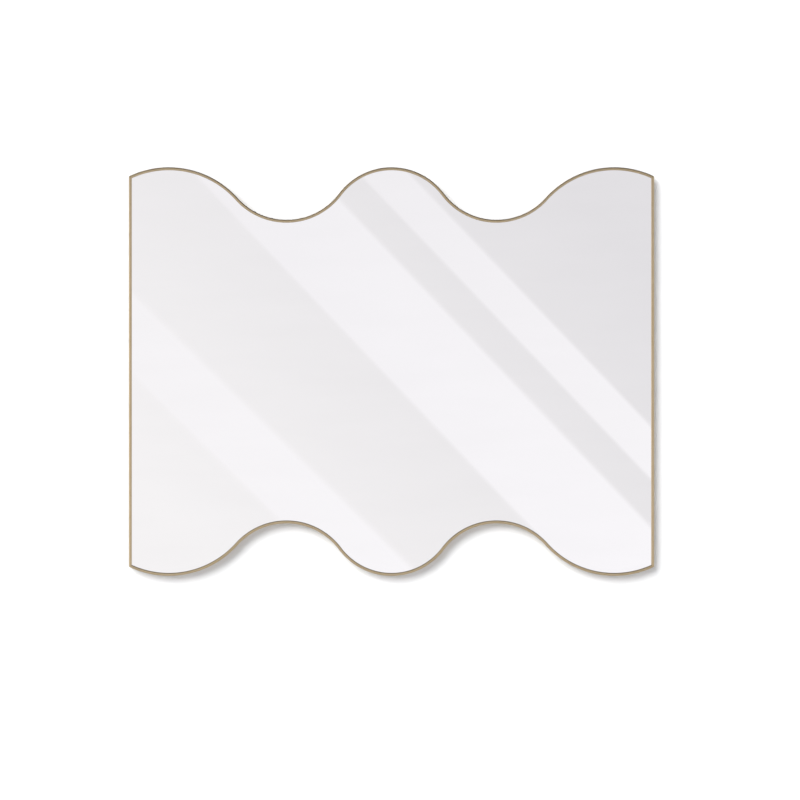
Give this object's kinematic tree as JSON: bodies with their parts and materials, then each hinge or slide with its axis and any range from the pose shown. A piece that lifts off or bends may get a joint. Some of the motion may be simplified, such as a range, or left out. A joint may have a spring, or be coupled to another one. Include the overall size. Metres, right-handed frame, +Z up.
{
  "type": "vanity mirror",
  "caption": "Wall-hung vanity mirror with straight sides and a scalloped top and bottom edge, in a thin gold aluminium frame, lifted onto a two-part Z rail.",
  "frame": {"origin": "on the wall plane, midway between the wall rail's screw holes", "axes": "+X to the right as the mirror is looked at, +Y into the wall, +Z up"},
  "size_m": [0.9144, 0.023, 0.7112],
  "materials": {
    "gold_anodised_frame": "brushed, anodised to a warm champagne gold",
    "silvered_glass": "polished clear float glass, silvered and painted behind",
    "safety_film": "white woven-backed safety film",
    "gasket_foam": "black closed-cell foam strip",
    "hardboard": "pressed brown hardboard, smooth face out",
    "setting_rubber": "black moulded rubber",
    "spring_steel": "bright rolled spring steel",
    "zinc_key": "stamped steel, zinc plated",
    "black_screw": "black oxide",
    "mill_rail": "extruded, mill finish",
    "zinc_screw": "turned steel, zinc plated",
    "bumper_rubber": "black moulded rubber, satin"
  },
  "bodies": {
    "wall": {"wall_rail": "mill_rail"},
    "mirror": {"frame_top_rail": "gold_anodised_frame", "frame_bottom_rail": "gold_anodised_frame", "frame_left_stile": "gold_anodised_frame", "frame_right_stile": "gold_anodised_frame", "mirror_glass": "silvered_glass", "safety_film": "safety_film", "lip_gasket": "gasket_foam", "back_board": "hardboard", "setting_block_right": "setting_rubber", "setting_block_left": "setting_rubber", "spring_clips": "spring_steel", "corner_key_top_right": "zinc_key", "corner_key_top_left": "zinc_key", "corner_key_bottom_right": "zinc_key", "corner_key_bottom_left": "zinc_key", "corner_shim_top_right": "zinc_key", "corner_shim_top_left": "zinc_key", "corner_shim_bottom_right": "zinc_key", "corner_shim_bottom_left": "zinc_key", "corner_set_screws": "black_screw", "hanger_bar": "mill_rail", "channel_nut_right": "zinc_screw", "channel_nut_left": "zinc_screw", "hanger_bar_screws": "zinc_screw", "wall_bumper_right": "bumper_rubber", "wall_bumper_left": "bumper_rubber"}
  },
  "joints": [
    {"name": "lift_off", "type": "slide", "parent": "wall", "child": "mirror", "axis": [0, 0, 1], "range_m": [0, 0.03]}
  ]
}
